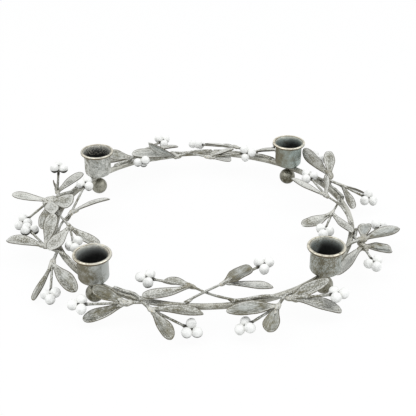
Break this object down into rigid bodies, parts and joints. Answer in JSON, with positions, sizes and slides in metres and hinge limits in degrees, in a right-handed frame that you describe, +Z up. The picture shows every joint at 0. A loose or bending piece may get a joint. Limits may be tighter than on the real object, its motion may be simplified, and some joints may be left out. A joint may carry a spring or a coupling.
{
  "type": "advent candle holder",
  "caption": "Wreath-shaped advent candle holder: a zinc-finished rod ring on ball feet carries deep-drawn candle cups and mistletoe sprigs with white berries.",
  "frame": {"origin": "on the table under the middle of the ring", "axes": "+Z up, -Y towards the viewer of the picture, +X to the viewer's right"},
  "size_m": [0.3278, 0.3081, 0.0467],
  "materials": {
    "zinc": "antiqued zinc plating, cloudy grey with olive-brown patches",
    "dark_zinc": "darkened zinc plating, satin",
    "frosted_zinc": "antiqued zinc plating with a silvery white frosting, brown in the recesses",
    "white_berry": "white, softly glossy"
  },
  "bodies": {
    "root": {"ring": "zinc", "cup_back_right": "zinc", "ball_foot_back_right": "dark_zinc", "cup_back_left": "zinc", "ball_foot_back_left": "dark_zinc", "cup_front_left": "zinc", "ball_foot_front_left": "dark_zinc", "cup_front_right": "zinc", "ball_foot_front_right": "dark_zinc", "sprig_front_1": "frosted_zinc", "berries_front_1": "white_berry", "sprig_front_2": "frosted_zinc", "berries_front_2": "white_berry", "sprig_front_3": "frosted_zinc", "berries_front_3": "white_berry", "sprig_front_4": "frosted_zinc", "berries_front_4": "white_berry", "sprig_front_5": "frosted_zinc", "berries_front_5": "white_berry", "sprig_front_6": "frosted_zinc", "berries_front_6": "white_berry", "sprig_right_1": "frosted_zinc", "berries_right_1": "white_berry", "sprig_right_2": "frosted_zinc", "berries_right_2": "white_berry", "sprig_right_3": "frosted_zinc", "berries_right_3": "white_berry", "sprig_right_4": "frosted_zinc", "berries_right_4": "white_berry", "sprig_right_5": "frosted_zinc", "berries_right_5": "white_berry", "sprig_right_6": "frosted_zinc", "berries_right_6": "white_berry", "sprig_back_1": "frosted_zinc", "berries_back_1": "white_berry", "sprig_back_2": "frosted_zinc", "berries_back_2": "white_berry", "sprig_back_3": "frosted_zinc", "berries_back_3": "white_berry", "sprig_back_4": "frosted_zinc", "berries_back_4": "white_berry", "sprig_back_5": "frosted_zinc", "berries_back_5": "white_berry", "sprig_back_6": "frosted_zinc", "berries_back_6": "white_berry", "sprig_left_1": "frosted_zinc", "berries_left_1": "white_berry", "sprig_left_2": "frosted_zinc", "berries_left_2": "white_berry", "sprig_left_3": "frosted_zinc", "berries_left_3": "white_berry", "sprig_left_4": "frosted_zinc", "berries_left_4": "white_berry", "sprig_left_5": "frosted_zinc", "berries_left_5": "white_berry", "sprig_left_6": "frosted_zinc", "berries_left_6": "white_berry"}
  },
  "joints": []
}
